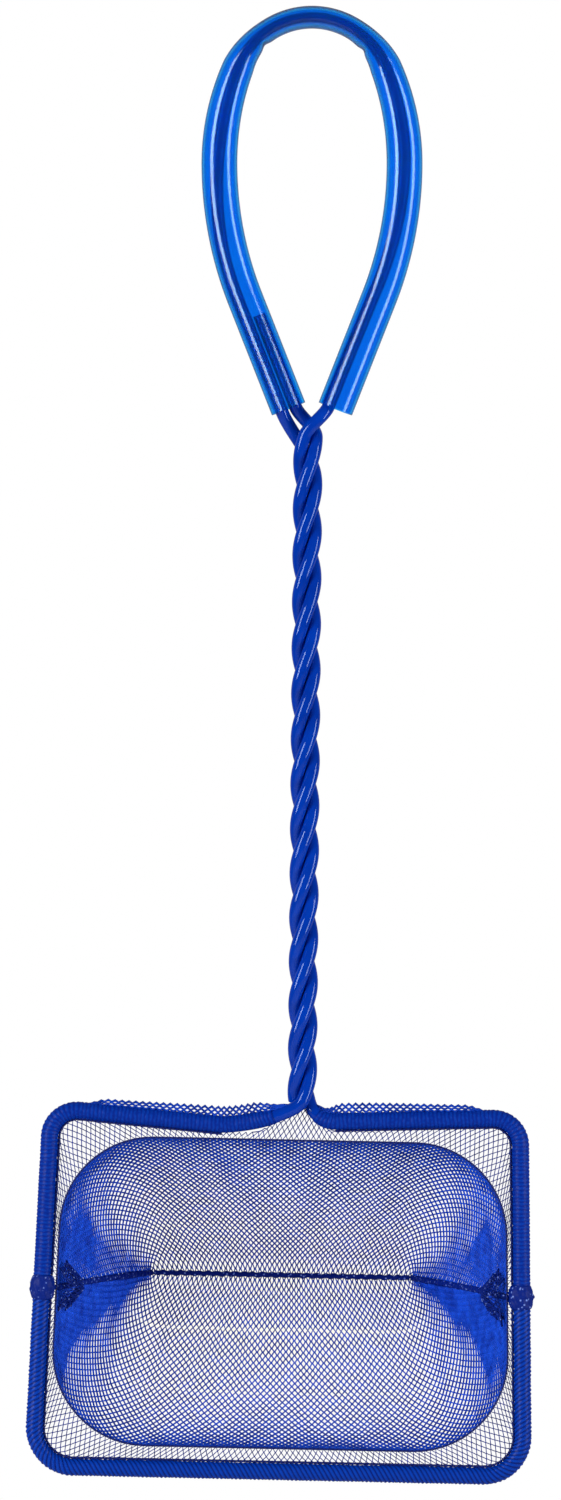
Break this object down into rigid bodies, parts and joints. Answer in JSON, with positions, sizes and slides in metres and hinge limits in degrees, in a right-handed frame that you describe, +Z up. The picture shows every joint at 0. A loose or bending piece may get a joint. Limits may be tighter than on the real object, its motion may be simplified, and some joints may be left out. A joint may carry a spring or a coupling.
{
  "type": "aquarium fish net",
  "caption": "Small rectangular fish net on a vinyl coated wire hoop, with a twisted wire handle, a sleeved hanging loop and a net bag that turns inside out.",
  "frame": {"origin": "underside of the flattened sleeve at the top of the hanging loop, where a peg carries the net", "axes": "+Z up the hanging net, +X to its right, +Y from the hoop towards the closed end of the bag"},
  "size_m": [0.1032, 0.0646, 0.3009],
  "materials": {
    "coat": "smooth glossy royal blue vinyl",
    "core": "bright drawn steel wire",
    "sleeve": "translucent bright blue vinyl tube",
    "hem": "net folded twice over the wire and whip stitched",
    "net": "knitted nylon net with 0.9 mm meshes",
    "stitching": "navy sewing thread and bunched net"
  },
  "bodies": {
    "frame": {"steel_core": "core", "spare_wire_end": "coat", "first_strand": "coat", "second_strand": "coat", "third_strand": "coat", "loop_wire": "coat", "hoop_wire_top_left": "coat", "hoop_wire_left": "coat", "hoop_wire_bottom": "coat", "hoop_wire_right": "coat", "hoop_wire_top_right": "coat", "grip_sleeve": "sleeve", "upper_hem_left": "hem", "upper_hem_right": "hem", "lower_hem": "hem", "upper_hem_thread_left": "stitching", "upper_hem_thread_right": "stitching", "lower_hem_thread": "stitching", "seam_gathers": "stitching", "upper_brim": "net", "lower_brim": "net"},
    "bag_throat": {"upper_throat": "net", "lower_throat": "net", "throat_seams": "stitching"},
    "bag_belly": {"upper_belly": "net", "lower_belly": "net", "belly_seams": "stitching"},
    "bag_tail": {"upper_tail": "net", "lower_tail": "net", "tail_seams": "stitching"},
    "bag_end": {"upper_end": "net", "lower_end": "net", "end_seam": "stitching"}
  },
  "joints": [
    {"name": "bag_turn", "type": "slide", "parent": "frame", "child": "bag_throat", "axis": [0, -1, 0], "range_m": [0, 0.01892]},
    {"name": "belly_turn", "type": "slide", "parent": "bag_throat", "child": "bag_belly", "axis": [0, -1, 0], "range_m": [0, 0.03624]},
    {"name": "tail_turn", "type": "slide", "parent": "bag_belly", "child": "bag_tail", "axis": [0, -1, 0], "range_m": [0, 0.03624]},
    {"name": "end_turn", "type": "slide", "parent": "bag_tail", "child": "bag_end", "axis": [0, -1, 0], "range_m": [0, 0.02112]}
  ],
  "couplings": [
    {"joint": "belly_turn", "follows": "bag_turn", "ratio": 1.9154},
    {"joint": "tail_turn", "follows": "bag_turn", "ratio": 1.9154},
    {"joint": "end_turn", "follows": "bag_turn", "ratio": 1.1163}
  ]
}
